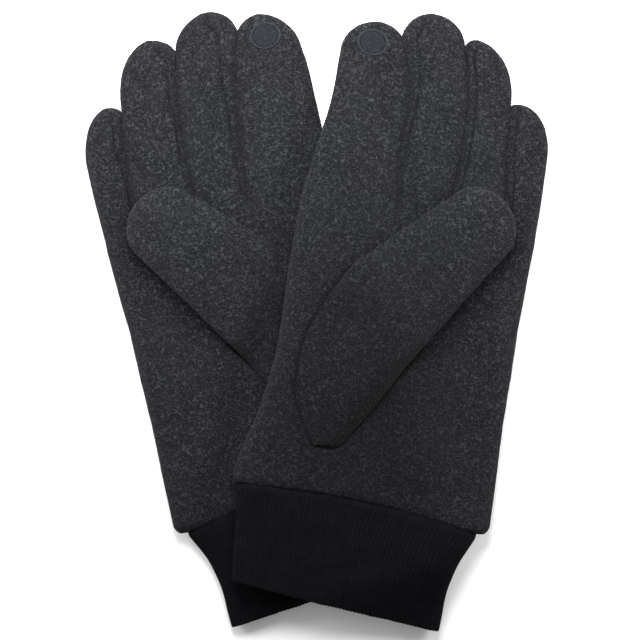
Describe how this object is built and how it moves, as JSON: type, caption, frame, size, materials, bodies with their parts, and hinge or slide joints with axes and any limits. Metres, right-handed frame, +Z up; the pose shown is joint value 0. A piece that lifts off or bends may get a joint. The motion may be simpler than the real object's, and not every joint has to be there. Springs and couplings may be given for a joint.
{
  "type": "touchscreen gloves",
  "caption": "Pair of lined brushed-wool gloves with rib-knit cuffs and conductive fingertip pads, laid palms up with the thumbs folded over and the left glove across the right one.",
  "frame": {"origin": "centre of the pair's footprint, on the surface they lie on", "axes": "+Y towards the fingertips, +Z up out of the palms, +X towards the side where the left-hand glove lies"},
  "size_m": [0.1962, 0.2692, 0.0315],
  "materials": {
    "brushed_wool": "brushed matt heather wool",
    "rib_knit": "fine matt rib knit",
    "fleece_lining": "matt brushed fleece",
    "conductive_pad": "matt stitched conductive thread"
  },
  "bodies": {
    "left_hand": {"left_palm_panel": "brushed_wool", "left_back_panel": "brushed_wool", "left_hand_lining": "fleece_lining", "left_cuff": "rib_knit", "left_thumb_gusset": "brushed_wool"},
    "left_thumb": {"left_thumb_back": "brushed_wool", "left_thumb_front": "brushed_wool", "left_thumb_lining": "fleece_lining", "left_thumb_touch_pad": "conductive_pad"},
    "left_index_finger": {"left_index_touch_pad": "conductive_pad", "left_index_front": "brushed_wool", "left_index_back": "brushed_wool", "left_index_lining": "fleece_lining", "left_index_fourchette": "brushed_wool"},
    "left_middle_finger": {"left_middle_front": "brushed_wool", "left_middle_back": "brushed_wool", "left_middle_lining": "fleece_lining", "left_middle_fourchette_near": "brushed_wool", "left_middle_fourchette_far": "brushed_wool"},
    "left_ring_finger": {"left_ring_front": "brushed_wool", "left_ring_back": "brushed_wool", "left_ring_lining": "fleece_lining", "left_ring_fourchette_near": "brushed_wool", "left_ring_fourchette_far": "brushed_wool"},
    "left_little_finger": {"left_little_front": "brushed_wool", "left_little_back": "brushed_wool", "left_little_lining": "fleece_lining", "left_little_fourchette": "brushed_wool"},
    "right_hand": {"right_palm_panel": "brushed_wool", "right_back_panel": "brushed_wool", "right_hand_lining": "fleece_lining", "right_cuff": "rib_knit", "right_thumb_gusset": "brushed_wool", "right_index_root_front": "brushed_wool", "right_index_root_back": "brushed_wool", "right_index_root_fourchette": "brushed_wool", "right_index_root_lining": "fleece_lining"},
    "right_thumb": {"right_thumb_back": "brushed_wool", "right_thumb_front": "brushed_wool", "right_thumb_lining": "fleece_lining", "right_thumb_touch_pad": "conductive_pad"},
    "right_index_finger": {"right_index_touch_pad": "conductive_pad", "right_index_front": "brushed_wool", "right_index_back": "brushed_wool", "right_index_lining": "fleece_lining", "right_index_fourchette": "brushed_wool"},
    "right_middle_finger": {"right_middle_front": "brushed_wool", "right_middle_back": "brushed_wool", "right_middle_lining": "fleece_lining", "right_middle_fourchette_near": "brushed_wool", "right_middle_fourchette_far": "brushed_wool"},
    "right_ring_finger": {"right_ring_front": "brushed_wool", "right_ring_back": "brushed_wool", "right_ring_lining": "fleece_lining", "right_ring_fourchette_near": "brushed_wool", "right_ring_fourchette_far": "brushed_wool"},
    "right_little_finger": {"right_little_front": "brushed_wool", "right_little_back": "brushed_wool", "right_little_lining": "fleece_lining", "right_little_fourchette": "brushed_wool"}
  },
  "joints": [
    {"name": "left_glove_lift", "type": "slide", "parent": "right_hand", "child": "left_hand", "axis": [0, 0, 1], "range_m": [0, 0.08]},
    {"name": "left_index_curl", "type": "hinge", "parent": "left_hand", "child": "left_index_finger", "pos_m": [0.01503, 0.06217, 0.02009], "axis": [0.9877, -0.1564, 0], "range_deg": [0, 85]},
    {"name": "left_middle_curl", "type": "hinge", "parent": "left_hand", "child": "left_middle_finger", "pos_m": [0.04644, 0.06327, 0.01159], "axis": [0.9877, -0.1564, 0], "range_deg": [0, 85]},
    {"name": "left_ring_curl", "type": "hinge", "parent": "left_hand", "child": "left_ring_finger", "pos_m": [0.06912, 0.0617, 0.0113], "axis": [0.9877, -0.1564, 0], "range_deg": [0, 85]},
    {"name": "left_little_curl", "type": "hinge", "parent": "left_hand", "child": "left_little_finger", "pos_m": [0.08738, 0.05071, 0.0113], "axis": [0.9877, -0.1564, 0], "range_deg": [0, 85]},
    {"name": "right_index_curl", "type": "hinge", "parent": "right_hand", "child": "right_index_finger", "pos_m": [-0.01728, 0.08819, 0.0113], "axis": [0.9855, 0.1699, 0], "range_deg": [0, 85]},
    {"name": "right_middle_curl", "type": "hinge", "parent": "right_hand", "child": "right_middle_finger", "pos_m": [-0.04607, 0.0648, 0.0113], "axis": [0.9744, 0.225, 0], "range_deg": [0, 85]},
    {"name": "right_ring_curl", "type": "hinge", "parent": "right_hand", "child": "right_ring_finger", "pos_m": [-0.06859, 0.06165, 0.0113], "axis": [0.9744, 0.225, 0], "range_deg": [0, 85]},
    {"name": "right_little_curl", "type": "hinge", "parent": "right_hand", "child": "right_little_finger", "pos_m": [-0.08603, 0.04941, 0.0113], "axis": [0.9744, 0.225, 0], "range_deg": [0, 85]},
    {"name": "left_thumb_lift", "type": "hinge", "parent": "left_hand", "child": "left_thumb", "pos_m": [0.03169, 0.0079, 0.02946], "axis": [0.6497, -0.7474, -0.1387], "range_deg": [0, 80]},
    {"name": "right_thumb_lift", "type": "hinge", "parent": "right_hand", "child": "right_thumb", "pos_m": [-0.0275, 0.01058, 0.02077], "axis": [0.5968, 0.792, -0.1284], "range_deg": [0, 80]}
  ]
}
